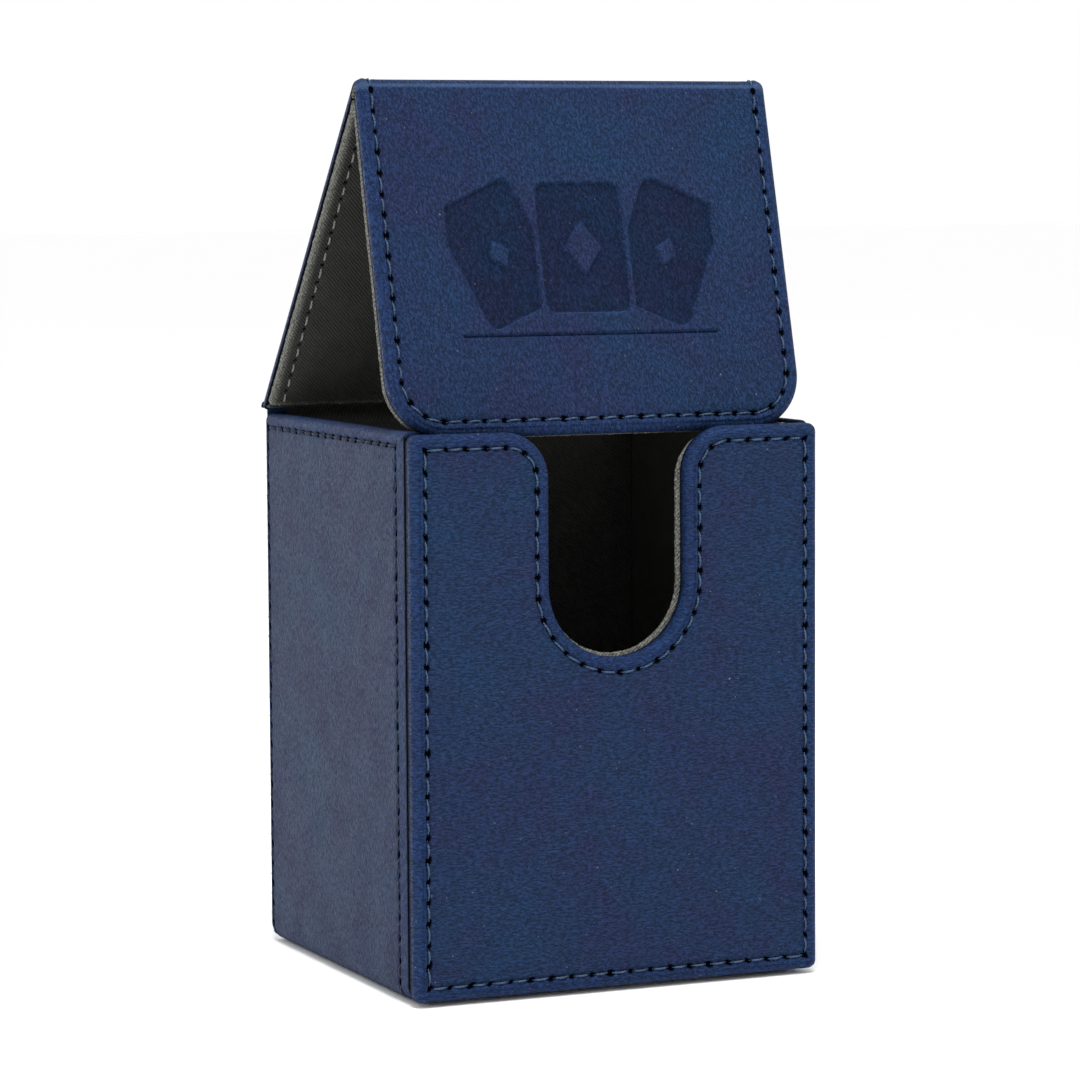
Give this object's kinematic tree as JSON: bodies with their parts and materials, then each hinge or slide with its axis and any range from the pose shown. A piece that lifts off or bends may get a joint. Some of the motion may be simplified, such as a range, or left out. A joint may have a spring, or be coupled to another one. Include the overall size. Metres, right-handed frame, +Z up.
{
  "type": "card deck box",
  "caption": "Upright box for a sleeved card deck, with a thumb notch in front, side walls and bottom in one piece, and a hinged lid whose folding flap closes over the front with magnets.",
  "frame": {"origin": "middle of the base, on the surface that the box stands on", "axes": "+Z up, -Y towards the front with the thumb notch, X across the width"},
  "size_m": [0.0774, 0.072, 0.1561],
  "materials": {
    "leather": "satin grained",
    "lining": "matte twill",
    "greyboard": "matte",
    "thread": "twisted thread",
    "magnet": "plated"
  },
  "bodies": {
    "box": {"sleeve_cover": "leather", "left_board": "greyboard", "right_board": "greyboard", "bottom_board": "greyboard", "left_lining": "lining", "right_lining": "lining", "bottom_lining": "lining", "left_stitching": "thread", "right_stitching": "thread", "bottom_stitching": "thread", "front_cover": "leather", "front_board": "greyboard", "front_lining": "lining", "front_stitching": "thread", "front_magnets": "magnet", "rear_cover": "leather", "rear_board": "greyboard", "rear_lining": "lining", "rear_stitching": "thread", "rear_fold": "leather"},
    "lid": {"lid_cover": "leather", "lid_board": "greyboard", "lid_lining": "lining", "lid_stitching": "thread", "ridge_fold": "leather"},
    "flap": {"flap_cover": "leather", "flap_board": "greyboard", "flap_lining": "lining", "flap_stitching": "thread", "flap_magnets": "magnet"}
  },
  "joints": [
    {"name": "lid_hinge", "type": "hinge", "parent": "box", "child": "lid", "pos_m": [0, 0.0352, 0.0979], "axis": [-1, 0, 0], "range_deg": [0, 129.6]},
    {"name": "flap_hinge", "type": "hinge", "parent": "lid", "child": "flap", "pos_m": [0, -0.01276, 0.15426], "axis": [-1, 0, 0], "range_deg": [0, 125.7]}
  ]
}
